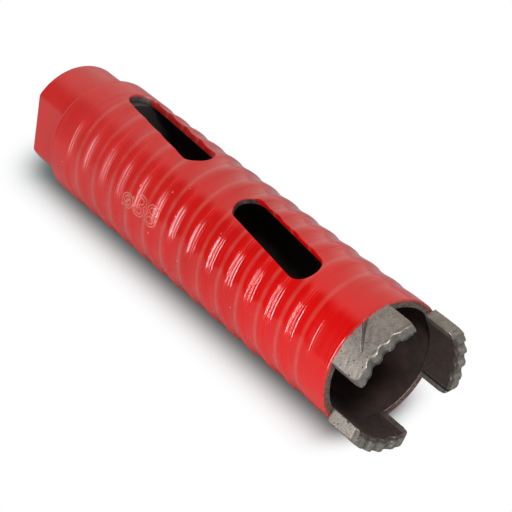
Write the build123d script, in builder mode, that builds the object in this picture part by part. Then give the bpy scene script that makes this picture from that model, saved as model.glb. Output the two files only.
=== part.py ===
from build123d import *
import math
import os

os.makedirs("parts", exist_ok=True)

# A dry diamond core bit. It stands on its hub end at the origin, and +Z runs
# along the axis to the cutting crown. Every size is in mm, every angle in degrees.

# Driving sizes
cut_diameter = 38.0
overall_length = 150.0
segment_height = 10.0
segment_count = 3
segment_width = 19.4
segment_stand_out = 0.75      # how far a segment stands out past the barrel
segment_stand_in = 0.9        # how far it stands in past the barrel's bore
first_segment_turn = 60.0

barrel_wall = 2.15            # at the lands between the flutes
back_edge_run = 1.6           # the back edge leans in gently, then breaks at 45 degrees
back_edge_drop = 0.35
back_edge_break = 0.6
front_edge_break = 0.3

hub_reach = 15.0              # hub standing clear of the barrel
hub_seat = 12.0               # hub plugged into the barrel
wrench_size = 27.0
wrench_turn = -11.0
thread_minor = 18.631         # G 1/2 pipe thread, cut by its own maker's tap
thread_major = 20.955
thread_lead_in = 0.3          # chamfer's reach past the thread's major radius

flute_pitch = 8.3
flute_depth = 0.42
flute_steep_side = 2.4        # from the flute's floor back to the land behind
flute_slow_side = 4.6         # from the flute's floor on to the land in front
flute_turns = 12.4
flute_run_in = 0.5            # turns over which the cutter sinks in
flute_run_out = 0.75          # turns over which it lifts out
flute_start = 26.4            # height of the floor where it crosses the X axis
cutter_clearance = 0.2

slot_width = 9.0
slot_lean = 6.5               # slots lean forward round the barrel
slots = ((44.5, -103.0, 39.5), (101.8, -78.7, 35.0))   # height, turn, length
slot_sides = 2

scallop_pitch = 4.05
scallop_depth = 0.9
scallop_count = 5
crown_corner = 1.6
inner_flat_reach = 3.6        # flat on the inner face, in from each end
inner_flat_lean = 19.0
inner_groove_width = 0.85
inner_groove_depth = 0.9
inner_groove_inset = 0.95     # land left between the groove and the segment's end
relief_depth = 0.4
relief_foot_width = 2.0
relief_tip_width = 0.3
relief_rise = 6.8
relief_foot_shift = -3.5
relief_tip_shift = 4.2

# Sizes that follow
cut_radius = cut_diameter / 2
barrel_radius = cut_radius - segment_stand_out
bore_radius = barrel_radius - barrel_wall
barrel_length = overall_length - hub_reach - segment_height
barrel_front = hub_reach + barrel_length
segment_inner_radius = bore_radius - segment_stand_in
segment_half = segment_width / 2

# Hub: a turned plug with a threaded bore and two wrench flats
mouth_radius = thread_major / 2 + thread_lead_in
thread_radius = thread_minor / 2
mouth_depth = mouth_radius - thread_radius
hub_length = hub_reach + hub_seat

with BuildPart() as hub:
    with BuildSketch(Plane.XZ):
        with BuildLine():
            Polyline(
                (mouth_radius, 0),
                (bore_radius, 0),
                (bore_radius, hub_length),
                (thread_radius, hub_length),
                (thread_radius, mouth_depth),
                close=True,
            )
        make_face()
    revolve(axis=Axis.Z)
    with BuildSketch(Plane.XY):
        with PolarLocations(wrench_size / 2, 2, start_angle=wrench_turn):
            Rectangle(barrel_radius, 2 * barrel_radius, align=(Align.MIN, Align.CENTER))
    extrude(amount=hub_reach, mode=Mode.SUBTRACT)

# Barrel: a tube with one long spiral flute, and slots that let the dust out
with BuildPart() as barrel:
    back_radius = barrel_radius - back_edge_drop
    with BuildSketch(Plane.XZ):
        with BuildLine():
            Polyline(
                (bore_radius, hub_reach),
                (back_radius - back_edge_break, hub_reach),
                (back_radius, hub_reach + back_edge_break),
                (barrel_radius, hub_reach + back_edge_run),
                (barrel_radius, barrel_front - front_edge_break),
                (barrel_radius - front_edge_break, barrel_front),
                (bore_radius, barrel_front),
                close=True,
            )
        make_face()
    revolve(axis=Axis.Z)

    # The flute's section leans: steep behind its floor, slow in front of it
    lift = flute_depth + cutter_clearance
    floor_point = (barrel_radius - flute_depth, flute_start)
    behind = (barrel_radius, flute_start - flute_steep_side)
    ahead = (barrel_radius, flute_start + flute_slow_side)
    with BuildSketch(Plane.XZ, mode=Mode.PRIVATE) as flute_section:
        with BuildLine():
            Polyline(
                floor_point,
                behind,
                (barrel_radius + lift, behind[1]),
                (barrel_radius + lift, ahead[1]),
                ahead,
                close=True,
            )
        make_face()

    # Its path: a helix, with a cone helix at each end where the cutter lifts
    run_in_rise = flute_run_in * flute_pitch
    run_out_rise = flute_run_out * flute_pitch
    flute_top = flute_start + flute_turns * flute_pitch
    main_run = Helix(
        flute_pitch, flute_top - flute_start, barrel_radius, (0, 0, flute_start), mode=Mode.PRIVATE,
    )
    run_in = Helix(
        flute_pitch, run_in_rise, barrel_radius, (0, 0, flute_start), (0, 0, -1),
        cone_angle=math.degrees(math.atan(lift / run_in_rise)), mode=Mode.PRIVATE,
    ).rotate(Axis.Z, 180)
    run_out = Helix(
        flute_pitch, run_out_rise, barrel_radius, (0, 0, flute_top),
        cone_angle=math.degrees(math.atan(lift / run_out_rise)), mode=Mode.PRIVATE,
    ).rotate(Axis.Z, 360 * flute_turns)
    flute_path = Wire(run_in.edges() + main_run.edges() + run_out.edges())
    sweep(flute_section.sketch, path=flute_path, is_frenet=True, mode=Mode.SUBTRACT)

    for slot_height, slot_turn, slot_length in slots:
        for side in range(slot_sides):
            turn = slot_turn + side * 360 / slot_sides
            out = Vector(1, 0, 0).rotate(Axis.Z, turn)
            along = Vector(0, 0, 1).rotate(Axis((0, 0, 0), tuple(out)), -slot_lean)
            centre = out * barrel_radius + Vector(0, 0, slot_height)
            with BuildSketch(Plane(origin=centre, x_dir=along, z_dir=out)):
                SlotOverall(slot_length, slot_width)
            extrude(amount=barrel_wall * 2, both=True, mode=Mode.SUBTRACT)

# Segment: one sintered cutting tooth, drawn on the X axis
end_out = math.sqrt(cut_radius**2 - segment_half**2)
flat_start = segment_half - inner_flat_reach
flat_x = math.sqrt(segment_inner_radius**2 - flat_start**2)
end_in = flat_x - inner_flat_reach * math.tan(math.radians(inner_flat_lean))
wave_middle = overall_length - scallop_depth / 2
last_crest = (scallop_count - 1) / 2 * scallop_pitch
first_cross = scallop_pitch / 4 - last_crest
corner_start = overall_length - crown_corner

with BuildPart() as segment:
    # Plan: outer and inner arcs, parallel ends, a flat by each inner corner
    with BuildSketch(Plane.XY.offset(barrel_front)):
        with BuildLine():
            ThreePointArc((end_out, -segment_half), (cut_radius, 0), (end_out, segment_half))
            Polyline((end_out, segment_half), (end_in, segment_half), (flat_x, flat_start))
            ThreePointArc((flat_x, flat_start), (segment_inner_radius, 0), (flat_x, -flat_start))
            Polyline((flat_x, -flat_start), (end_in, -segment_half), (end_out, -segment_half))
        make_face()
    extrude(amount=segment_height)

    # Crown: crests and troughs pressed straight through, with round corners
    with BuildSketch(Plane.YZ):
        with BuildLine():
            for k in range(2 * scallop_count - 3):
                start = first_cross + k * scallop_pitch / 2
                end = start + scallop_pitch / 2
                bulge = scallop_depth / 2 if k % 2 == 0 else -scallop_depth / 2
                SagittaArc((start, wave_middle), (end, wave_middle), bulge)
            for side in (-1, 1):
                top = (side * last_crest, overall_length)
                corner = (side * segment_half, corner_start)
                TangentArc(top, (-side * first_cross, wave_middle), tangent=(-side, 0))
                TangentArc(top, corner, tangent=(side, 0))
            Polyline(
                (-segment_half, corner_start),
                (-segment_half, barrel_front),
                (segment_half, barrel_front),
                (segment_half, corner_start),
            )
        make_face()
    extrude(amount=cut_diameter, mode=Mode.INTERSECT)

    # A groove up the inner face beside one end
    with BuildSketch(Plane.XY.offset(barrel_front)):
        with Locations((end_in + inner_groove_depth, inner_groove_inset - segment_half)):
            Rectangle(
                2 * inner_groove_depth, inner_groove_width, align=(Align.MAX, Align.MIN),
            )
    extrude(amount=segment_height, mode=Mode.SUBTRACT)

    # A shallow relief slanting up the outer face from the foot
    with BuildPart(mode=Mode.SUBTRACT):
        with BuildSketch(Plane.YZ):
            with BuildLine():
                Polyline(
                    (relief_foot_shift - relief_foot_width / 2, barrel_front),
                    (relief_foot_shift + relief_foot_width / 2, barrel_front),
                    (relief_tip_shift + relief_tip_width / 2, barrel_front + relief_rise),
                    (relief_tip_shift - relief_tip_width / 2, barrel_front + relief_rise),
                    close=True,
                )
            make_face()
        extrude(amount=cut_diameter)
        with BuildSketch(Plane.XY.offset(barrel_front)):
            Circle(cut_radius + cutter_clearance)
            Circle(cut_radius - relief_depth, mode=Mode.SUBTRACT)
        extrude(amount=segment_height, mode=Mode.INTERSECT)

hub.part.label = "hub"
export_step(hub.part, "parts/hub.step")
barrel.part.label = "barrel"
export_step(barrel.part, "parts/barrel.step")
for number in range(segment_count):
    with BuildPart() as placed:
        add(segment.part, rotation=(0, 0, first_segment_turn + number * 360 / segment_count))
    name = f"segment_{number + 1}"
    placed.part.label = name
    export_step(placed.part, f"parts/{name}.step")
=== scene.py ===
import math

import bmesh
import bpy
from mathutils import Matrix, Vector


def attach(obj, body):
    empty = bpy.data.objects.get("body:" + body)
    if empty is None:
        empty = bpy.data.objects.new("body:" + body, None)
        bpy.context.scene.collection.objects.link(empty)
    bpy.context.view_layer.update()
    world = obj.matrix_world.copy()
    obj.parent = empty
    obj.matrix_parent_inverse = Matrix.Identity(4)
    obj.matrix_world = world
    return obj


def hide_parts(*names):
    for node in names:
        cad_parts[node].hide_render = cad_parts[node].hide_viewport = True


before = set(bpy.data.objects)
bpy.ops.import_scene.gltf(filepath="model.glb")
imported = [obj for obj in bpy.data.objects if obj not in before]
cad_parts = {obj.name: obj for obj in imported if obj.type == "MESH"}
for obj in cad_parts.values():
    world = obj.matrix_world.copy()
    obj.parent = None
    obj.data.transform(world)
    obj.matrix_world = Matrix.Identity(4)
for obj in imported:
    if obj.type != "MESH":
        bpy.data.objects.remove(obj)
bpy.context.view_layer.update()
mm = 0.001
fullTurn = 2 * math.pi


class Wire:  # one output of a node
    def __init__(self, board, socket):
        self.board, self.socket = board, socket

    def maths(self, operation, *others):
        return self.board.maths(operation, self, *others)

    def other(self, name):  # another output of the same node
        return Wire(self.board, self.socket.node.outputs[name])

    def clamped(self, low=0.0, high=1.0):
        return self.maths("MAXIMUM", low).maths("MINIMUM", high)

    def step(self, start, end):  # 0 before start, 1 after end, smooth between
        return self.board.node("ShaderNodeMapRange", {"interpolation_type": "SMOOTHSTEP"},
                               {0: self, 1: start, 2: end, 3: 0.0, 4: 1.0})

    def __add__(self, other):
        return self.maths("ADD", other)

    def __sub__(self, other):
        return self.maths("SUBTRACT", other)

    def __mul__(self, other):
        return self.maths("MULTIPLY", other)

    def __truediv__(self, other):
        return self.maths("DIVIDE", other)

    def __pow__(self, other):
        return self.maths("POWER", other)

    def __radd__(self, other):
        return self.board.maths("ADD", other, self)

    def __rsub__(self, other):
        return self.board.maths("SUBTRACT", other, self)

    def __rtruediv__(self, other):
        return self.board.maths("DIVIDE", other, self)


class Board:  # a node tree being wired up
    def __init__(self, tree):
        self.tree = tree

    def node(self, kind, settings=None, inputs=None, output=0):
        made = self.tree.nodes.new(kind)
        for name, value in (settings or {}).items():
            setattr(made, name, value)
        for key, value in (inputs or {}).items():
            if isinstance(value, Wire):
                self.tree.links.new(value.socket, made.inputs[key])
            else:
                made.inputs[key].default_value = value
        return Wire(self, made.outputs[output]) if len(made.outputs) else made

    def maths(self, operation, *values):
        return self.node("ShaderNodeMath", {"operation": operation}, dict(enumerate(values)))

    def mix(self, share, first, second):  # of two colours
        return self.node("ShaderNodeMix", {"data_type": "RGBA"}, {0: share, 6: first, 7: second}, 2)

    def vector(self, x, y, z):
        return self.node("ShaderNodeCombineXYZ", None, {0: x, 1: y, 2: z})

    def noise(self, where, size, detail=2.0, rough=0.5):  # size in mm
        return self.node("ShaderNodeTexNoise", None, {
            "Vector": where, "Scale": 1 / size, "Detail": detail, "Roughness": rough})

    def cells(self, where, size):  # the distance from the middle of each cell, size in mm
        return self.node("ShaderNodeTexVoronoi", None, {"Vector": where, "Scale": 1 / size})

    def bump(self, height, strength, depth, normal=None):  # depth in mm
        inputs = {"Height": height, "Strength": strength, "Distance": depth * mm}
        if normal:
            inputs["Normal"] = normal
        return self.node("ShaderNodeBump", None, inputs)


def linear(red, green, blue):  # a colour as a screen shows it, 0 to 255
    def one(v):
        v = v / 255
        return v / 12.92 if v <= 0.04045 else ((v + 0.055) / 1.055) ** 2.4

    return (one(red), one(green), one(blue), 1.0)


def newMaterial(name):
    made = bpy.data.materials.new(name)
    made.use_nodes = True
    made.node_tree.nodes.clear()
    return made, Board(made.node_tree)


def place(board):  # where on the piece, in mm: the point, its x, y and z, and its radius
    here = board.node("ShaderNodeTexCoord", output="Object")
    scaled = board.node("ShaderNodeVectorMath", {"operation": "SCALE"}, {0: here, 3: 1 / mm})
    parts = board.node("ShaderNodeSeparateXYZ", None, {0: scaled})
    x, y, z = parts, parts.other("Y"), parts.other("Z")
    return scaled, x, y, z, (x * x + y * y).maths("SQRT")


def dots(board, where, spacing, size, ragged, softness):  # one round spot to each cell, in mm
    edge = size / spacing
    return (board.cells(where, spacing) + ragged).step(edge * (1 + softness), edge * (1 - softness))


def finish(board, inputs):
    shader = board.node("ShaderNodeBsdfPrincipled", None, inputs)
    board.node("ShaderNodeOutputMaterial", None, {"Surface": shader})


barrel = {
    "radius": 18.25, "bore": 16.1, "back": 15.0, "front": 140.0,
    "backRound": (0.6, 1.0), "frontBreak": 0.25, "frontBend": (0.4, 0.35), "boreBreak": 0.15,
    "around": 240, "rowPitch": 0.45, "endPitch": 0.5, "borePitch": 5.0, "roundSteps": 8,
    "creaseAngle": 32,
}
flute = {
    "pitch": 8.3, "depth": 0.36, "behind": 2.4, "ahead": 4.6, "start": 26.4,
    "turns": 12.4, "runIn": 0.5, "runOut": 0.75, "lift": 0.56, "power": 2.0, "clearOfBore": 1.0,
}
slots = {
    "places": ((44.5, -103.0, 39.5), (101.8, -78.7, 35.0)),  # height, turn and length of each
    "width": 9.0, "lean": 6.5, "sides": 2, "mouthBreak": 0.25, "mouthDepth": 0.5,
    "boreBreak": 0.22, "boreDepth": 0.2, "lap": 0.02, "pastBore": 3.0, "pastMouth": 2.0,
    "roundSteps": 24,
}

# In the finishes a pair of numbers is where a change starts and ends, what ends in Ragged is how
# far a noise moves that place, and what ends in Bump is a strength and a depth in mm
paint = {
    "colour": linear(219, 8, 6), "deep": linear(206, 5, 5), "pale": linear(222, 52, 46),
    "frontLight": linear(236, 6, 5), "palest": linear(226, 142, 130), "fleck": linear(236, 190, 180),
    "roughness": 0.16, "dulling": 0.16, "coat": 0.08, "coatRoughness": 0.05,
    "cloudSize": 11.0, "cloudReach": (0.3, 0.65),
    "lineGauge": 0.5, "lineStretch": 0.07, "lineHeight": 0.1, "lineDepth": 0.06, "lineRoughness": 0.2,
    "bandSize": 3.0, "bandReach": (0.45, 0.75), "bandShare": 0.5,
    "feedLines": 11.0, "feedHeight": (0.2, 1.6),
    "gritSize": 0.25, "gritShare": 0.06, "gritRoughness": 0.1,
    "peelSize": 1.1, "peelStrength": 0.25, "peelDepth": 0.02,
    "fleckSpacing": 2.7, "fleckSize": 0.2, "fleckRagged": 0.05, "fleckSoftness": 0.3,
    "fleckPatch": 4.0, "fleckReach": (0.6, 0.64), "fleckShare": 0.8, "fleckRoughness": 0.3,
}


def paintLook(board, scaled, z, phase, lineStrength, turned=1.0):
    # Sprayed enamel over a turned surface: colour, roughness and normal
    ring = phase * fullTurn
    reach = flute["pitch"] / paint["lineGauge"] / fullTurn
    wound = board.vector(ring.maths("COSINE") * reach, ring.maths("SINE") * reach,
                         z * paint["lineStretch"])
    lines = board.noise(wound, 1.0, 2.0, 0.6)
    bands = board.noise(wound, paint["bandSize"], 2.0, 0.6)
    lowest, spread = paint["feedHeight"]
    feed = (ring * (paint["feedLines"] / 2)).maths("SINE").maths("ABSOLUTE")
    feed = feed * (lowest + lines * spread) * turned
    cloud = board.noise(scaled, paint["cloudSize"], 3.0, 0.55)
    peel = board.noise(scaled, paint["peelSize"], 2.0, 0.5)
    grit = board.noise(scaled, paint["gritSize"], 2.0, 0.6)
    fleck = dots(board, scaled, paint["fleckSpacing"], paint["fleckSize"],
                 (grit - 0.5) * paint["fleckRagged"], paint["fleckSoftness"])
    fleck = fleck * board.noise(scaled, paint["fleckPatch"], 1.0).step(*paint["fleckReach"])
    banded = bands.step(*paint["bandReach"]) * (paint["bandShare"] * lineStrength)
    colour = board.mix(cloud.step(*paint["cloudReach"]), paint["deep"], paint["colour"])
    colour = board.mix(banded, colour, paint["pale"])
    colour = board.mix((grit - 0.5).clamped() * paint["gritShare"], colour, paint["pale"])
    colour = board.mix(fleck * paint["fleckShare"], colour, paint["fleck"])
    rough = paint["roughness"] + (lines - 0.5) * (paint["lineRoughness"] * lineStrength)
    rough = rough + (grit - 0.5) * paint["gritRoughness"] + fleck * paint["fleckRoughness"]
    normal = board.bump(lines * paint["lineHeight"] + feed, lineStrength, paint["lineDepth"])
    normal = board.bump(peel, paint["peelStrength"], paint["peelDepth"], normal)
    return colour, rough, normal


barrelLook = {  # heights and radii in mm, and distances from the flute's floor or a slot's end
    "fluteRear": (22.0, 24.0), "fluteFront": (134.0, 131.0), "countedBehind": 0.4,
    "cutRear": (-2.5, -2.1), "cutFront": (0.1, -0.4), "lineStrength": 0.62,
    "rearSheenReach": (105.0, 50.0), "paleShare": 0.3, "frontLightReach": (82.0, 122.0), "frontLightShare": 0.7,
    "crestSheenLine": 3.1, "crestSheenReach": (1.2, 0.1), "crestSheenShare": 0.36, "dullRear": (85.0, 25.0),
    "chipSize": 0.8, "broadSize": 3.4, "rim": (139.5, 139.75), "rimChipRagged": 1.3,
    "rimBroadRagged": 0.8, "rimPaint": (17.55, 17.95), "rimPaintRagged": 1.6, "rimPaintShare": 0.7,
    "slotWall": (16.36, 16.26), "slotWallRagged": 0.3, "clearOfHub": (17.0, 18.0),
    "slotEndDepth": (17.76, 17.7), "slotEndRear": (-0.6, -0.4), "slotEndFront": (3.4, 1.6),
    "bore": (16.16, 16.13), "joint": (16.1, 15.4), "jointRagged": 0.3, "jointRoughness": 0.8,
    "slotSteelShaded": linear(104, 93, 90), "slotBrownShaded": linear(76, 60, 57),
    "streakStretch": (0.3, 1.6), "streakReach": (0.35, 0.7),
    "rimSteel": linear(134, 118, 110), "rimBrown": linear(82, 62, 57), "burntReach": (0.35, 0.62),
    "burntFrom": (137.0, 138.0),
    "boreDark": linear(43, 35, 34), "boreBrown": linear(62, 45, 41), "sootReach": (0.3, 0.75),
    "bareMetal": 0.4, "bareRoughness": 0.42, "streakRoughness": 0.3,
    "sootMetal": 0.75, "sootRoughness": 0.95, "markShare": 0.8, "markRoughness": 0.2,
}


def flutePaint(board, scaled, x, y, z, broad):
    # The cutter's lines stay in the flute; painted sheen pales the flute's slow side and the barrel's rear,
    # and painted light deepens the red towards the front
    phase = z / flute["pitch"] - y.maths("ARCTAN2", x) / fullTurn
    fluted = z.step(*barrelLook["fluteRear"]) * z.step(*barrelLook["fluteFront"])
    floor = flute["start"] / flute["pitch"]
    behind = barrelLook["countedBehind"]  # the share of a pitch that counts as behind the floor
    along = ((phase - floor + behind).maths("FRACT") - behind) * flute["pitch"]
    cut = along.step(*barrelLook["cutRear"]) * along.step(*barrelLook["cutFront"]) * fluted
    colour, rough, normal = paintLook(board, scaled, z, phase, barrelLook["lineStrength"], cut)
    # Painted sheen: a pale line along the flute's slow side
    palest = (along - barrelLook["crestSheenLine"]).maths("ABSOLUTE").step(*barrelLook["crestSheenReach"])
    # Painted light along the barrel: paler towards the rear as painted sheen, a deeper red towards the front
    # as painted light
    pale = z.step(*barrelLook["rearSheenReach"]) * barrelLook["paleShare"]
    frontLight = z.step(*barrelLook["frontLightReach"]) * barrelLook["frontLightShare"]
    colour = board.mix(pale, colour, paint["pale"])
    colour = board.mix(frontLight, colour, paint["frontLight"])
    colour = board.mix(palest * fluted * (broad * barrelLook["crestSheenShare"]), colour, paint["palest"])
    return colour, rough + z.step(*barrelLook["dullRear"]) * paint["dulling"], normal


def bareSteel(z, radius, chip, broad):
    # Paint stops raggedly at the front rim and just inside the slots
    chipped = chip - 0.5
    rim = z + chipped * barrelLook["rimChipRagged"] + (broad - 0.5) * barrelLook["rimBroadRagged"]
    held = (radius + chipped * barrelLook["rimPaintRagged"]).step(*barrelLook["rimPaint"])
    rim = rim.step(*barrelLook["rim"]) * (1 - held * barrelLook["rimPaintShare"])
    slotWall = (radius + chipped * barrelLook["slotWallRagged"]).step(*barrelLook["slotWall"])
    slotWall = slotWall * z.step(*barrelLook["clearOfHub"])
    slotEnds = 0.0
    for height, turn, length in slots["places"]:
        past = z - (height - length / 2)  # from the slot's rear end
        end = past.step(*barrelLook["slotEndRear"]) * past.step(*barrelLook["slotEndFront"])
        slotEnds = slotEnds + end
    slotEnds = slotEnds * radius.step(*barrelLook["slotEndDepth"])
    return rim.maths("MAXIMUM", slotWall).maths("MAXIMUM", slotEnds)


def barrelFinish():
    made, board = newMaterial("barrelEnamel")
    scaled, x, y, z, radius = place(board)
    chip = board.noise(scaled, barrelLook["chipSize"], 3.0, 0.65)
    broad = board.noise(scaled, barrelLook["broadSize"], 2.0, 0.5)
    colour, rough, normal = flutePaint(board, scaled, x, y, z, broad)
    bare = bareSteel(z, radius, chip, broad)
    inside = radius.step(*barrelLook["bore"])
    across, along = barrelLook["streakStretch"]
    streak = board.noise(board.vector(x * across, y * across, z * along), 1.0, 3.0)
    # The bare steel inside the slots is a darker copy of the bare steel elsewhere: painted shade of the
    # slot's recess
    steel = board.mix(streak.step(*barrelLook["streakReach"]), barrelLook["slotBrownShaded"],
                      barrelLook["slotSteelShaded"])
    burnt = board.mix(chip.step(*barrelLook["burntReach"]), barrelLook["rimBrown"],
                      barrelLook["rimSteel"])
    steel = board.mix(z.step(*barrelLook["burntFrom"]), steel, burnt)
    soot = board.mix(broad.step(*barrelLook["sootReach"]), barrelLook["boreDark"],
                     barrelLook["boreBrown"])
    engraved = board.node("ShaderNodeAttribute", {"attribute_name": "engraved"}).other("Fac")
    colour = board.mix(bare, colour, steel)
    colour = board.mix(inside, colour, soot)
    colour = board.mix(engraved * barrelLook["markShare"], colour, paint["palest"])
    # The edge round the hub is dull, so it mirrors no bright ring
    joint = (z + (chip - 0.5) * barrelLook["jointRagged"]).step(*barrelLook["joint"])
    bareRough = barrelLook["bareRoughness"] + (streak - 0.5) * barrelLook["streakRoughness"]
    rough = rough + engraved * barrelLook["markRoughness"]
    rough = rough * (1 - bare) + bare * bareRough
    rough = rough * (1 - inside) + inside * barrelLook["sootRoughness"]
    rough = rough + joint * barrelLook["jointRoughness"]
    metal = (bare - inside).clamped() * barrelLook["bareMetal"] + inside * barrelLook["sootMetal"]
    coat = (1 - bare.maths("MAXIMUM", inside)) * (1 - joint) * paint["coat"]
    finish(board, {"Base Color": colour, "Roughness": rough, "Metallic": metal, "Normal": normal,
                   "Coat Weight": coat, "Coat Roughness": paint["coatRoughness"]})
    return made


hubLook = {
    "linePitch": 6.0, "lineStrength": 0.07, "paleShare": 0.3, "wornSize": 0.9,
    "bare": (11.4, 11.1), "bareRagged": 0.7, "bareMetal": 0.85, "bareRoughness": 0.36,
    "steel": linear(158, 146, 140), "brown": linear(116, 88, 80), "steelReach": (0.3, 0.7),
    "spigot": (15.4, 15.9), "spigotRagged": 0.6, "spigotRoughness": 0.3,
    "spigotColour": linear(43, 35, 34),
}


def hubFinish():
    made, board = newMaterial("hubEnamel")
    scaled, x, y, z, radius = place(board)
    phase = z / hubLook["linePitch"]
    colour, rough, normal = paintLook(board, scaled, z, phase, hubLook["lineStrength"])
    colour = board.mix(hubLook["paleShare"], colour, paint["pale"])
    worn = board.noise(scaled, hubLook["wornSize"], 3.0, 0.6)
    bare = (radius + (worn - 0.5) * hubLook["bareRagged"]).step(*hubLook["bare"])  # thread and mouth
    steel = board.mix(worn.step(*hubLook["steelReach"]), hubLook["brown"], hubLook["steel"])
    colour = board.mix(bare, colour, steel)
    # The spray never reached the spigot
    hidden = (z + (worn - 0.5) * hubLook["spigotRagged"]).step(*hubLook["spigot"]) * (1 - bare)
    colour = board.mix(hidden, colour, hubLook["spigotColour"])
    rough = (rough + paint["dulling"]) * (1 - bare) + bare * hubLook["bareRoughness"]
    rough = rough + hidden * hubLook["spigotRoughness"]
    finish(board, {"Base Color": colour, "Roughness": rough, "Metallic": bare * hubLook["bareMetal"],
                   "Normal": normal, "Coat Weight": (1 - bare) * (1 - hidden) * paint["coat"],
                   "Coat Roughness": paint["coatRoughness"]})
    return made


sinter = {  # side is across the segment and out is along its middle, in mm
    "count": 3, "warm": linear(132, 122, 114), "cool": linear(150, 142, 135), "pore": linear(34, 28, 25),
    "inner": linear(62, 45, 42), "grain": linear(196, 190, 182),
    "metal": 0.38, "roughness": 0.42,
    "fineSize": 0.2, "fineReach": (0.6, 0.32), "fineShare": 0.55, "fineBump": (0.4, 0.035),
    "mottleSize": 1.5, "mottleReach": (0.3, 0.72), "mottleRoughness": 0.3, "broadSize": 6.0,
    "poreSpacing": 1.25, "poreSize": 0.2, "poreRagged": 0.12, "poreSoftness": 0.25,
    "porePatch": 1.9, "porePatchReach": (0.44, 0.5), "poreShare": 0.9, "poreRoughness": 0.3,
    "poreBump": (0.8, 0.1), "grainPerMm": 2.4, "grainReach": (0.17, 0.1), "grainPatch": 1.1,
    "grainPatchReach": (0.5, 0.58), "grainShare": 0.55, "grainRoughness": -0.1,
    "innerFace": (16.7, 16.1), "innerRagged": 0.6, "innerEnds": (7.4, 8.2), "endLightShare": 0.85,
    "innerShadeShare": 0.85, "innerMetal": 0.5,
    "reliefFloor": (18.86, 18.72), "reliefBack": (18.2, 18.4), "reliefSide": (8.4, 8.0),
    "reliefTop": (147.6, 147.2), "reliefShadeShare": 0.7, "grooveShadeShare": 0.85,
    "grooveSide": ((-8.85, -8.7), (-7.8, -8.0)), "grooveOut": ((13.25, 13.5), (14.6, 14.2)),
    "edgeReach": (0.52, 0.6), "edgeShare": 0.15, "crest": (149.2, 149.6), "crestHighlightShare": 0.6,
    "troughShade": ((149.5, 149.1), (148.5, 148.9)), "troughShadeShare": 0.3,
    "lap": (140.83, 140.67), "lapOuter": (18.3, 18.6), "lapSide": (9.4, 9.0), "lapSize": 0.9,
    "lapFineRagged": 1.7, "lapBroadRagged": 1.6, "lapRoughness": -0.1,
}


def sinterSpecks(board, scaled, fine):  # dark pores, and bright grains of diamond
    pore = dots(board, scaled, sinter["poreSpacing"], sinter["poreSize"],
                (fine - 0.5) * sinter["poreRagged"], sinter["poreSoftness"])
    pore = pore * board.noise(scaled, sinter["porePatch"]).step(*sinter["porePatchReach"])
    grain = board.cells(scaled, 1 / sinter["grainPerMm"]).step(*sinter["grainReach"])
    grain = grain * board.noise(scaled, sinter["grainPatch"]).step(*sinter["grainPatchReach"])
    return pore, grain


def sinterHollowShade(side, out, chord, z, radius):  # painted shade in the outer relief and the inner groove
    relief = radius.step(*sinter["reliefFloor"]) * radius.step(*sinter["reliefBack"])
    relief = relief * chord.step(*sinter["reliefSide"]) * z.step(*sinter["reliefTop"])
    (left, right), (near, far) = sinter["grooveSide"], sinter["grooveOut"]
    groove = side.step(*left) * side.step(*right) * out.step(*near) * out.step(*far)
    return relief * sinter["reliefShadeShare"] + groove * sinter["grooveShadeShare"]


def sinterOverspray(board, scaled, z, radius, chord, broad):
    # Red overspray laps on to the foot of the outer face
    ragged = (board.noise(scaled, sinter["lapSize"], 3.0, 0.6) - 0.5) * sinter["lapFineRagged"]
    ragged = ragged + (broad - 0.5) * sinter["lapBroadRagged"]
    painted = (z + ragged).step(*sinter["lap"]) * radius.step(*sinter["lapOuter"])
    return painted * chord.step(*sinter["lapSide"])


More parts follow.
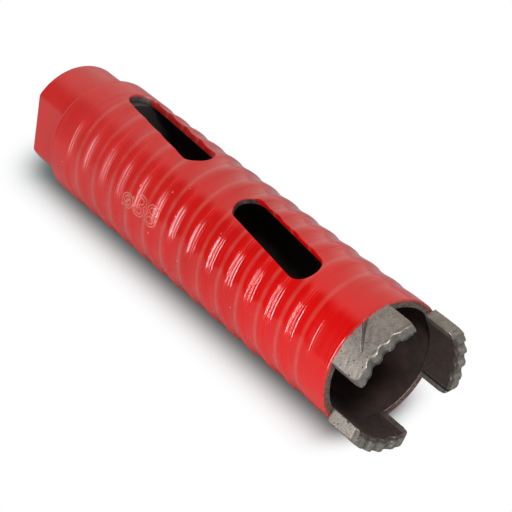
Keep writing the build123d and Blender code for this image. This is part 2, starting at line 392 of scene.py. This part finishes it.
def sinterFinish():
    made, board = newMaterial("sinteredSegment")
    scaled, x, y, z, radius = place(board)
    fine = board.noise(scaled, sinter["fineSize"], 3.0, 0.7)
    mottle = board.noise(scaled, sinter["mottleSize"], 3.0, 0.65)
    broad = board.noise(scaled, sinter["broadSize"], 2.0, 0.5)
    pore, grain = sinterSpecks(board, scaled, fine)
    share = fullTurn / sinter["count"]  # of the turn, to each segment
    turn = ((y.maths("ARCTAN2", x) * (1 / share)).maths("FRACT") - 0.5) * share
    side, out = turn.maths("SINE") * radius, turn.maths("COSINE") * radius
    chord = side.maths("ABSOLUTE")
    # Painted shade on the inner face, which faces the bore, made lighter near the segment's ends as painted
    # light
    behind = (radius + (broad - 0.5) * sinter["innerRagged"]).step(*sinter["innerFace"])
    behind = behind * (1 - chord.step(*sinter["innerEnds"]) * sinter["endLightShare"])
    # Sharp edges lighter as wear, and the crown's crest much lighter as a painted highlight
    edges = board.node("ShaderNodeNewGeometry").other("Pointiness").step(*sinter["edgeReach"])
    worn = edges * (sinter["edgeShare"] + z.step(*sinter["crest"]) * sinter["crestHighlightShare"])
    # A dark band below the crown between the crests: painted shade
    troughShade = z.step(*sinter["troughShade"][0]) * z.step(*sinter["troughShade"][1])
    painted = sinterOverspray(board, scaled, z, radius, chord, broad)
    colour = board.mix(mottle.step(*sinter["mottleReach"]), sinter["warm"], sinter["cool"])
    colour = board.mix(fine.step(*sinter["fineReach"]) * sinter["fineShare"], colour, sinter["pore"])
    colour = board.mix(pore * sinter["poreShare"], colour, sinter["pore"])
    colour = board.mix(grain * sinter["grainShare"], colour, sinter["grain"])
    # Painted shade on the inner face
    colour = board.mix(behind * sinter["innerShadeShare"], colour, sinter["inner"])
    # The relief and the inner groove darkened: painted shade
    colour = board.mix(sinterHollowShade(side, out, chord, z, radius), colour, sinter["pore"])
    # Worn edges, with the painted crest highlight
    colour = board.mix(worn, colour, sinter["grain"])
    # Painted shade below the crest
    colour = board.mix(troughShade * sinter["troughShadeShare"], colour, sinter["pore"])
    colour = board.mix(painted, colour, paint["colour"])
    rough = sinter["roughness"] + (mottle - 0.5) * sinter["mottleRoughness"]
    rough = rough + pore * sinter["poreRoughness"] + (grain + edges) * sinter["grainRoughness"]
    rough = rough + painted * sinter["lapRoughness"]
    normal = board.bump(fine, *sinter["fineBump"])
    normal = board.bump(pore * -1.0, *sinter["poreBump"], normal)
    metal = (1 - painted) * sinter["metal"] * (1 - behind * sinter["innerMetal"])
    finish(board, {"Base Color": colour, "Roughness": rough, "Metallic": metal, "Normal": normal})
    return made


enamel = barrelFinish()
hubEnamel = hubFinish()
sinterMetal = sinterFinish()
print("materials ready")


def newPiece(name, points, faces):
    data = bpy.data.meshes.new(name)
    data.from_pydata([tuple(Vector(p) * mm) for p in points], [], faces)
    made = bpy.data.objects.new(name, data)
    bpy.context.scene.collection.objects.link(made)
    return made


def faceOutwards(piece):
    work = bmesh.new()
    work.from_mesh(piece.data)
    bmesh.ops.remove_doubles(work, verts=work.verts, dist=1e-7)
    bmesh.ops.recalc_face_normals(work, faces=work.faces)
    work.to_mesh(piece.data)
    work.free()


def lathe(name, section, around, shape=None):
    # A closed section of (radius, height) points turned about the axis
    points, faces = [], []
    count = len(section)
    for step in range(around):
        turn = fullTurn * step / around
        for radius, height in section:
            r = shape(radius, height, turn) if shape else radius
            points.append((r * math.cos(turn), r * math.sin(turn), height))
    for step in range(around):
        here, there = step * count, (step + 1) % around * count
        for k in range(count):
            after = (k + 1) % count
            faces.append((here + k, there + k, there + after, here + after))
    made = newPiece(name, points, faces)
    faceOutwards(made)
    return made


def freeze(piece, creaseAngle=None):  # what the modifiers make becomes the piece's own mesh
    bpy.context.view_layer.update()
    shown = piece.evaluated_get(bpy.context.evaluated_depsgraph_get())
    data = bpy.data.meshes.new_from_object(shown)
    piece.modifiers.clear()
    piece.data = data
    if creaseAngle:
        data.shade_smooth()
        data.set_sharp_from_angle(angle=math.radians(creaseAngle))
    return piece


def useTree(piece, tree, values):  # a Geometry Nodes modifier with its inputs set by name
    modifier = piece.modifiers.new(tree.name, "NODES")
    modifier.node_group = tree
    for item in tree.interface.items_tree:
        if item.item_type == "SOCKET" and item.in_out == "INPUT" and item.name in values:
            modifier[item.identifier] = values[item.name]


def newTree(name, inputs):
    tree = bpy.data.node_groups.new(name, "GeometryNodeTree")
    tree.interface.new_socket("Geometry", in_out="INPUT", socket_type="NodeSocketGeometry")
    for title, kind in inputs.items():
        tree.interface.new_socket(title, in_out="INPUT", socket_type="NodeSocket" + kind)
    tree.interface.new_socket("Geometry", in_out="OUTPUT", socket_type="NodeSocketGeometry")
    board = Board(tree)
    given = tree.nodes.new("NodeGroupInput")
    return tree, board, {s.name: Wire(board, s) for s in given.outputs if s.name}


def endTree(board, geometry, material):
    solid = board.node("GeometryNodeRealizeInstances", None, {0: geometry})
    dressed = board.node("GeometryNodeSetMaterial", None, {"Geometry": solid, "Material": material})
    board.node("NodeGroupOutput", None, {0: dressed})


def grooveTree():
    # One spiral groove in a turned wall. Side is 1 for an outer wall and -1 for a bore, and only
    # what lies past the limit on that side is moved
    names = ("Radius", "Limit", "Side", "Pitch", "Depth", "Behind", "Ahead", "Start", "Turns",
             "Run In", "Run Out", "Lift", "Power")
    tree, board, given = newTree("spiralGroove", {**{n: "Float" for n in names}, "Finish": "Material"})
    here = board.node("GeometryNodeInputPosition")
    parts = board.node("ShaderNodeSeparateXYZ", None, {0: here})
    x, y, z = parts / mm, parts.other("Y") / mm, parts.other("Z") / mm
    radius = (x * x + y * y).maths("SQRT")
    turn = y.maths("ARCTAN2", x) / fullTurn
    rise = (z - given["Start"]) / given["Pitch"] - turn
    lap = (rise + given["Behind"] / given["Pitch"]).maths("FLOOR")
    offset = (rise - lap) * given["Pitch"]  # along the axis from the groove's floor
    reach = offset.maths("GREATER_THAN", 0.0)
    width = given["Behind"] + reach * (given["Ahead"] - given["Behind"])
    wound = lap + turn
    lift = (wound / given["Run In"] * -1.0).maths("MAXIMUM", (wound - given["Turns"]) / given["Run Out"])
    lift = lift.maths("MAXIMUM", 0.0) * given["Lift"]
    cut = given["Depth"] * (1 - (offset.maths("ABSOLUTE") / width) ** given["Power"]) - lift
    cut = cut.maths("MAXIMUM", 0.0)
    signed = (radius * given["Side"]).maths("MINIMUM", given["Radius"] * given["Side"] - cut)
    scale = signed * given["Side"] / radius
    chosen = ((radius - given["Limit"]) * given["Side"]).maths("GREATER_THAN", 0.0)
    moved = board.vector(x * scale * mm, y * scale * mm, z * mm)
    grooved = board.node("GeometryNodeSetPosition", None, {
        "Geometry": given["Geometry"], "Selection": chosen, "Position": moved})
    smooth = board.node("GeometryNodeSetShadeSmooth", None, {"Geometry": grooved})
    endTree(board, smooth, given["Finish"])
    return tree


spiralGroove = grooveTree()


def grooveValues(groove, radius, limit, side, material):
    return {"Radius": radius, "Limit": limit, "Side": side, "Pitch": groove["pitch"],
            "Depth": groove["depth"], "Behind": groove["behind"], "Ahead": groove["ahead"],
            "Start": groove["start"], "Turns": groove["turns"], "Run In": groove["runIn"],
            "Run Out": groove["runOut"], "Lift": groove["lift"], "Power": groove["power"],
            "Finish": material}


def span(first, last, pitch):  # evenly spaced values from first to last
    steps = max(1, round(abs(last - first) / pitch))
    return [first + (last - first) * k / steps for k in range(steps + 1)]


def roundedEdge(radius, back, reach, rise, steps):  # from the back face round to the outer wall
    turns = [math.radians(90 * k / steps) for k in range(steps + 1)]
    return [(radius - reach + reach * math.sin(t), back + rise * (1 - math.cos(t))) for t in turns]


def unit(turn):
    return Vector((math.cos(math.radians(turn)), math.sin(math.radians(turn)), 0))


def stadium(length, width, steps):
    half, bend = (length - width) / 2, width / 2
    ring = []
    for side in (1, -1):
        for k in range(steps + 1):
            turn = math.radians(-90 + 180 * k / steps)
            ring.append((side * (half + bend * math.cos(turn)), side * bend * math.sin(turn)))
    return ring


def slotCutter(number, height, turn, length):
    # A lofted slot, a little wider at the outer mouth and at the bore, so both edges are broken
    out = unit(turn)
    side = Vector((-out.y, out.x, 0))
    lean = math.radians(slots["lean"])
    along = Vector((0, 0, 1)) * math.cos(lean) + side * math.sin(lean)
    across = out.cross(along)
    outer, inner = barrel["radius"], barrel["bore"]
    levels = (  # radius, and how far the slot is widened there
        (inner - slots["pastBore"], slots["boreBreak"]), (inner - slots["lap"], slots["boreBreak"]),
        (inner + slots["boreDepth"], 0.0), (outer - slots["mouthDepth"], 0.0),
        (outer + slots["lap"], slots["mouthBreak"]), (outer + slots["pastMouth"], slots["mouthBreak"]),
    )
    points, faces = [], []
    for radius, grow in levels:
        ring = stadium(length + 2 * grow, slots["width"] + 2 * grow, slots["roundSteps"])
        for u, v in ring:
            flat = along * u + across * v + Vector((0, 0, height))
            sideways = flat.dot(side)
            points.append(flat + out * (math.sqrt(radius ** 2 - sideways ** 2)))
    count = len(ring)
    for level in range(len(levels) - 1):
        base = level * count
        for k in range(count):
            after = (k + 1) % count
            faces.append((base + k, base + after, base + count + after, base + count + k))
    faces.append(tuple(range(count)))
    faces.append(tuple(range(len(points) - count, len(points))))
    made = newPiece("slotCutter_%d" % number, points, faces)
    faceOutwards(made)
    return made


def cutAway(piece, cutters, creaseAngle):
    for cutter in cutters:
        modifier = piece.modifiers.new("cut", "BOOLEAN")
        modifier.operation, modifier.object, modifier.solver = "DIFFERENCE", cutter, "MANIFOLD"
    freeze(piece, creaseAngle)
    for cutter in cutters:
        bpy.data.objects.remove(cutter)


mark = {
    "words": "\u00f838",  # a diameter sign and the cut diameter
    "height": 6.2, "from": 51.0, "turn": -25.5, "stroke": 0.36, "depth": 0.14, "stretch": 1.24,
    "bolder": 0.012, "fontScale": 1.36, "pointGap": 0.3, "standOut": 0.25,
    "room": (-1.0, 22.0), "turnRoom": 16.0, "sunk": 0.03,
}


def fluteRadius(turn, z):  # the barrel's radius at an angle in degrees and a height
    rise = (z - flute["start"]) / flute["pitch"] - turn / 360
    lap = math.floor(rise + flute["behind"] / flute["pitch"])
    offset = (rise - lap) * flute["pitch"]
    width = flute["ahead"] if offset > 0 else flute["behind"]
    wound = lap + turn / 360
    lift = max(-wound / flute["runIn"], (wound - flute["turns"]) / flute["runOut"], 0.0) * flute["lift"]
    cut = flute["depth"] * (1 - abs(offset / width) ** flute["power"]) - lift
    return barrel["radius"] - max(cut, 0.0)


def markLoops():  # the outlines of the mark's characters, each a closed run of flat points
    data = bpy.data.curves.new("markWords", "FONT")
    data.body, data.size, data.fill_mode = mark["words"], mark["height"] * mark["fontScale"], "NONE"
    data.offset = mark["bolder"] * data.size
    words = bpy.data.objects.new("markWords", data)
    bpy.context.scene.collection.objects.link(words)
    bpy.context.view_layer.update()
    flat = words.evaluated_get(bpy.context.evaluated_depsgraph_get()).to_mesh()
    outline = bmesh.new()
    outline.from_mesh(flat)
    bmesh.ops.remove_doubles(outline, verts=outline.verts, dist=1e-4)
    outline.verts.ensure_lookup_table()
    loops, seen = [], set()
    for first in outline.verts:
        if first.index in seen or len(first.link_edges) != 2:
            continue
        loop, here, edge = [], first, first.link_edges[0]
        while here.index not in seen:
            seen.add(here.index)
            loop.append(Vector((here.co.x * mark["stretch"], here.co.y)))
            here = edge.other_vert(here)
            edge = next(e for e in here.link_edges if e != edge)
        loops.append(loop)
    outline.free()
    bpy.data.objects.remove(words)
    return loops


def markCutter(number, loop):
    # One outline as a thin closed ribbon, bent round the barrel and sunk into it
    fine = []
    for k, point in enumerate(loop):  # points close together, so that the bend is even
        after = loop[(k + 1) % len(loop)]
        steps = max(1, math.ceil((after - point).length / mark["pointGap"]))
        fine += [point.lerp(after, step / steps) for step in range(steps)]
    points, faces = [], []
    count = len(fine)
    for k, point in enumerate(fine):
        along = (fine[(k + 1) % count] - fine[k - 1]).normalized()
        across = Vector((-along.y, along.x)) * (mark["stroke"] / 2)
        for side, rise in ((1, mark["standOut"]), (1, -mark["depth"]), (-1, -mark["depth"]),
                           (-1, mark["standOut"])):
            u, v = point + across * side
            z = mark["from"] + u
            turn = mark["turn"] + math.degrees((mark["height"] / 2 - v) / barrel["radius"])
            points.append(unit(turn) * (fluteRadius(turn, z) + rise) + Vector((0, 0, z)))
    for k in range(count):
        after = (k + 1) % count
        for side in range(4):
            beside = (side + 1) % 4
            faces.append((4 * k + side, 4 * k + beside, 4 * after + beside, 4 * after + side))
    cutter = newPiece("markCutter_%d" % number, points, faces)
    faceOutwards(cutter)
    return cutter


def noteEngraving(piece):  # 1 on the faces inside the mark's lines, for the enamel to read
    values = []
    for face in piece.data.polygons:
        x, y, z = face.center / mm
        turn = math.degrees(math.atan2(y, x))
        near = mark["room"][0] < z - mark["from"] < mark["room"][1]
        near = near and abs(turn - mark["turn"]) < mark["turnRoom"]
        sunk = near and barrel["bore"] + 1 < math.hypot(x, y) < fluteRadius(turn, z) - mark["sunk"]
        values.append(1.0 if sunk else 0.0)
    engraved = piece.data.attributes.new("engraved", "FLOAT", "FACE")
    engraved.data.foreach_set("value", values)


def makeBarrel():
    reach, rise = barrel["backRound"]
    outer, bore = barrel["radius"], barrel["bore"]
    back, front = barrel["back"], barrel["front"]
    edge, lip = barrel["frontBreak"], barrel["boreBreak"]
    bendIn, bendBack = barrel["frontBend"]  # the middle of the front break, as shares of it
    section = roundedEdge(outer, back, reach, rise, barrel["roundSteps"])
    section += [(outer, z) for z in span(back + rise, front - edge, barrel["rowPitch"])[1:]]
    section += [(outer - edge * bendIn, front - edge * bendBack), (outer - edge, front)]
    section += [(r, front) for r in span(outer - edge, bore + lip, barrel["endPitch"])[1:]]
    section += [(bore, z) for z in span(front - lip, back, barrel["borePitch"])]
    section += [(r, back) for r in span(bore, outer - reach, barrel["endPitch"])[1:-1]]
    piece = lathe("barrelTube", section, barrel["around"])
    limit = bore + flute["clearOfBore"]
    useTree(piece, spiralGroove, grooveValues(flute, outer, limit, 1.0, enamel))
    freeze(piece)
    cutters = []
    for height, turn, length in slots["places"]:
        for side in range(slots["sides"]):
            cutters.append(slotCutter(len(cutters), height, turn + 360 * side / slots["sides"], length))
    cutters += [markCutter(number, loop) for number, loop in enumerate(markLoops())]
    cutAway(piece, cutters, barrel["creaseAngle"])
    noteEngraving(piece)
    return piece


barrelPiece = makeBarrel()
print("barrel", len(barrelPiece.data.polygons))


hub = {
    "radius": barrel["bore"], "reach": barrel["back"], "length": 27.0,
    "flatReach": 13.5, "flatTurn": -11.0, "flatEnd": 0.02, "cornerBlend": 0.12,
    "threadMinor": 9.3155, "mouth": 10.7775, "mouthLand": 1.0, "edgeRound": 0.5, "spigotBreak": 0.3,
    "around": 192, "rowPitch": 0.15, "wallPitch": 1.2, "spigotPitch": 3.0,
    "roundSteps": 6, "mouthSteps": 8, "creaseAngle": 40,
}
thread = {  # G 1/2: 14 threads an inch
    "pitch": 1.814, "depth": 1.162, "behind": 0.9, "ahead": 0.9, "start": -1.0, "turns": 40.0,
    "runIn": 1.0, "runOut": 1.0, "lift": 0.0, "power": 1.0, "clearOfMouth": 0.5,
}


def hubShape(radius, height, turn):
    # Clips the hub's outside to its two flats, with the corners eased; the bore stays round
    if radius < hub["mouth"] + hub["mouthLand"] or height > hub["reach"] - hub["flatEnd"] / 2:
        return radius
    drop = hub["radius"] - radius
    away = max(abs(math.cos(turn - math.radians(hub["flatTurn"]))), 0.2)  # never near zero
    flat = hub["flatReach"] / away  # from the axis to the flat's plane, this way out
    soft = hub["cornerBlend"]
    low, gap = min(flat, hub["radius"]), abs(flat - hub["radius"])
    eased = math.exp(-gap / soft) * soft / 2
    return low - eased - drop


def makeHub():
    outer, minor, mouth = hub["radius"], hub["threadMinor"], hub["mouth"]
    edge, reach, length = hub["edgeRound"], hub["reach"], hub["length"]
    deep, steps = mouth - minor, hub["mouthSteps"]
    section = roundedEdge(outer, 0.0, edge, edge, hub["roundSteps"])
    section += [(outer, z) for z in span(edge, reach - hub["flatEnd"], hub["wallPitch"])[1:]]
    section += [(outer, z) for z in span(reach, length - hub["spigotBreak"], hub["spigotPitch"])]
    section += [(r, length) for r in span(outer - hub["spigotBreak"], minor, hub["wallPitch"])]
    section += [(minor, z) for z in span(length, deep, hub["rowPitch"])[1:]]
    section += [(minor + deep * k / steps, deep * (1 - k / steps)) for k in range(1, steps + 1)]
    section += [(r, 0.0) for r in span(mouth, outer - edge, hub["wallPitch"])[1:-1]]
    piece = lathe("hubBody", section, hub["around"], hubShape)
    limit = mouth + thread["clearOfMouth"]
    useTree(piece, spiralGroove, grooveValues(thread, minor, limit, -1.0, hubEnamel))
    return freeze(piece, hub["creaseAngle"])


hubPiece = makeHub()
print("hub", len(hubPiece.data.polygons))


segment = {  # grain and swell are half of each ripple's swing
    "voxel": 0.15, "smooth": 2, "smoothFactor": 0.5, "grain": 0.035, "grainSize": 0.32,
    "swell": 0.05, "swellSize": 1.8, "sink": 0.72, "seed": 4.0,
    "crown": 148.2, "crownFade": 0.8, "crownSteps": 14,
}


def sinterTree():
    # The crown's edges are worn round, and the pressed skin moves a little along its normal
    tree, board, given = newTree("sinterSkin", {
        "Grain": "Float", "Grain Size": "Float", "Swell": "Float", "Swell Size": "Float",
        "Sink": "Float", "Seed": "Float", "Crown": "Float", "Crown Fade": "Float",
        "Crown Steps": "Int", "Finish": "Material"})
    here = board.node("GeometryNodeInputPosition")
    height = board.node("ShaderNodeSeparateXYZ", None, {0: here}).other("Z") / mm
    eased = board.node("GeometryNodeBlurAttribute", {"data_type": "FLOAT_VECTOR"}, {
        "Value": here, "Iterations": given["Crown Steps"]})
    share = height.step(given["Crown"] - given["Crown Fade"], given["Crown"])
    rounded = board.node("ShaderNodeMix", {"data_type": "VECTOR"}, {0: share, 4: here, 5: eased}, 1)
    rounded = board.node("GeometryNodeSetPosition", None, {
        "Geometry": given["Geometry"], "Position": rounded})
    scaled = board.node("ShaderNodeVectorMath", {"operation": "SCALE"}, {0: here, 3: 1 / mm})

    def ripple(size):
        return board.node("ShaderNodeTexNoise", {"noise_dimensions": "4D"}, {
            "Vector": scaled, "W": given["Seed"], "Scale": 1 / size, "Detail": 2.0}) - given["Sink"]

    lift = ripple(given["Grain Size"]) * given["Grain"] + ripple(given["Swell Size"]) * given["Swell"]
    normal = board.node("GeometryNodeInputNormal")
    offset = board.node("ShaderNodeVectorMath", {"operation": "SCALE"}, {0: normal, 3: lift * (2 * mm)})
    moved = board.node("GeometryNodeSetPosition", None, {"Geometry": rounded, "Offset": offset})
    smooth = board.node("GeometryNodeSetShadeSmooth", None, {"Geometry": moved})
    endTree(board, smooth, given["Finish"])
    return tree


sinterSkin = sinterTree()


def makeSegment(node, number):
    piece = bpy.data.objects.new("segment%d" % number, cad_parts[node].data.copy())
    bpy.context.scene.collection.objects.link(piece)
    faceOutwards(piece)
    remesh = piece.modifiers.new("remesh", "REMESH")
    remesh.mode, remesh.voxel_size, remesh.adaptivity = "VOXEL", segment["voxel"] * mm, 0.0
    ease = piece.modifiers.new("ease", "SMOOTH")
    ease.factor, ease.iterations = segment["smoothFactor"], segment["smooth"]
    useTree(piece, sinterSkin, {
        "Grain": segment["grain"], "Grain Size": segment["grainSize"], "Swell": segment["swell"],
        "Swell Size": segment["swellSize"], "Sink": segment["sink"], "Seed": segment["seed"] + number,
        "Crown": segment["crown"], "Crown Fade": segment["crownFade"],
        "Crown Steps": segment["crownSteps"], "Finish": sinterMetal})
    return freeze(piece)


segmentPieces = {}
for nodeName in sorted(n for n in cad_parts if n.startswith("segment_")):
    segmentPieces[nodeName] = makeSegment(nodeName, len(segmentPieces) + 1)
print("segments", len(segmentPieces["segment_1"].data.polygons))


shown = [(barrelPiece, "barrel", "barrel_paint"), (hubPiece, "hub", "hub_paint")]
shown += [(made, name, "sintered_metal") for name, made in segmentPieces.items()]
for piece, node, slot in shown:
    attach(piece, "root")
    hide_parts(node)


stage = {  # shadowReach and clear: how far from the tool the floor carries a painted shadow, and where it turns white
    "floorAt": 19.05, "floorSize": 2600.0, "floorColour": linear(236, 248, 248),
    "shadowColour": linear(114, 133, 131), "shadowReach": (9.0, 20.5), "clear": (6.0, 24.5),
    "frontEnd": 134.0, "frontSqueeze": 2.0, "rearSqueeze": 0.9,
    "skyLight": 0.57, "skyMirror": 0.9, "skyTint": (1.0, 0.93, 0.85, 1.0), "mirroredShadeShare": 0.4,
    "darkToward": (0.647, -0.445, -0.619), "darkReach": (0.73, 0.89),
    "greyToward": (0.86, 0.11, -0.50), "greyReach": (0.1, 0.8), "greyShare": 0.45,
}
# The tool lies on the floor: its middle in mm, and the camera's directions along the floor
centre = Vector((0, 0, 75.0))
upward = Vector((0, -1, 0))
rightward = Vector((-0.801, 0, 0.5987))
onward = Vector((-0.6072, 0, -0.7945))


def makeFloor():
    half = stage["floorSize"] / 2
    depth = stage["floorAt"]
    floor = newPiece("floor", [(-half, depth, -half), (half, depth, -half), (half, depth, half),
                               (-half, depth, half)], [(0, 1, 2, 3)])
    made, board = newMaterial("paleFloor")
    scaled, x, y, z, radius = place(board)
    front = (z - stage["frontEnd"]) * stage["frontSqueeze"]
    past = front.maths("MAXIMUM", z * -stage["rearSqueeze"]).maths("MAXIMUM", 0.0)
    away = (x * x + past * past).maths("SQRT")  # how far from the tool's axis or its ends
    # Painted shadow: the floor is darker near the tool
    colour = board.mix(away.step(*stage["shadowReach"]), stage["shadowColour"], stage["floorColour"])
    path = board.node("ShaderNodeLightPath")
    # Painted shade: the floor as mirrored in the tool is darker
    colour = board.mix(path.other("Is Glossy Ray") * stage["mirroredShadeShare"], colour, stage["shadowColour"])
    matt = board.node("ShaderNodeBsdfDiffuse", None, {"Color": colour})
    white = board.node("ShaderNodeEmission", None, {"Color": (1, 1, 1, 1), "Strength": 1.0})
    near = board.node("ShaderNodeMixShader", None, {0: away.step(*stage["clear"]) * path, 1: matt, 2: white})
    back = board.node("ShaderNodeNewGeometry").other("Backfacing")
    clear = board.node("ShaderNodeBsdfTransparent")
    seen = board.node("ShaderNodeMixShader", None, {0: back, 1: near, 2: clear})
    board.node("ShaderNodeOutputMaterial", None, {"Surface": seen})
    floor.data.materials.append(made)


def makeWorld():
    # White all round, with one dark side and one grey side of the room for the gloss to mirror
    world = bpy.data.worlds.new("studio")
    world.use_nodes = True
    world.node_tree.nodes.clear()
    board = Board(world.node_tree)
    path = board.node("ShaderNodeLightPath")
    mirror = path.other("Is Glossy Ray").maths("MAXIMUM", path.other("Is Transmission Ray"))
    aim = board.node("ShaderNodeTexCoord")

    def facing(direction):
        return board.node("ShaderNodeVectorMath", {"operation": "DOT_PRODUCT"}, {
            0: aim, 1: direction}).other("Value")

    dim = facing(stage["darkToward"]).step(*stage["darkReach"])
    grey = facing(stage["greyToward"]).step(*stage["greyReach"]) * stage["greyShare"]
    room = (1 - grey) * (1 - dim) * stage["skyMirror"]
    strength = stage["skyLight"] + mirror * (room - stage["skyLight"])
    strength = strength * (1 - path) + path
    tint = board.mix(mirror, (1, 1, 1, 1), stage["skyTint"])
    light = board.node("ShaderNodeBackground", None, {"Color": tint, "Strength": strength})
    board.node("ShaderNodeOutputWorld", None, {"Surface": light})
    world.cycles.sampling_method = "NONE"  # so that a mirrored ray and a scattered one tell apart
    bpy.context.scene.world = world


lamps = {  # right, up and onward from the tool's middle in mm, then width, height, watts and use
    "overhead": (60, 640, 60, 700, 700, 0.6, "light"),
    "leftFill": (-120, 80, -391, 400, 260, 0.8, "light"),
    "leftStrip": (-1120, 460, -330, 105, 1100, 11.0, "mirror"),
    "crownGlint": (50, 480, -350, 110, 110, 8.0, "mirror"),
}


def makeLamps():
    for name, (right, up, on, width, height, watts, use) in lamps.items():
        data = bpy.data.lights.new(name, "AREA")
        data.shape, data.size, data.size_y, data.energy = "RECTANGLE", width * mm, height * mm, watts
        lamp = bpy.data.objects.new(name, data)
        lamp.visible_glossy, lamp.visible_diffuse = use == "mirror", use == "light"
        bpy.context.scene.collection.objects.link(lamp)
        spot = rightward * right + upward * up + onward * on
        facing = (-spot).normalized()
        sideways = facing.cross(upward).normalized()
        lampUp = sideways.cross(facing)
        turned = Matrix((sideways, lampUp, -facing)).transposed().to_4x4()
        lamp.matrix_world = Matrix.Translation((centre + spot) * mm) @ turned


view = {  # place and sensor in mm, and the directions of right, down and ahead
    "at": (215.46, -266.07, 370.9), "lens": 119.19, "sensor": 36.0, "clip": (0.01, 20.0),
    "right": (-0.80091, -0.01441, 0.59861), "down": (0.34817, 0.80213, 0.48515),
    "ahead": (-0.48715, 0.59698, -0.63742),
}


def makeCamera():
    data = bpy.data.cameras.new("camera")
    data.lens, data.sensor_width, data.sensor_fit = view["lens"], view["sensor"], "HORIZONTAL"
    data.clip_start, data.clip_end = view["clip"]
    camera = bpy.data.objects.new("camera", data)
    bpy.context.scene.collection.objects.link(camera)
    right, down, ahead = Vector(view["right"]), Vector(view["down"]), Vector(view["ahead"])
    turned = Matrix((right, -down, -ahead)).transposed().to_4x4()
    camera.matrix_world = Matrix.Translation(Vector(view["at"]) * mm) @ turned
    bpy.context.scene.camera = camera


makeFloor()
makeWorld()
makeLamps()
makeCamera()
bpy.context.scene.view_settings.view_transform = "Standard"
print("stage ready")

bpy.context.view_layer.update()
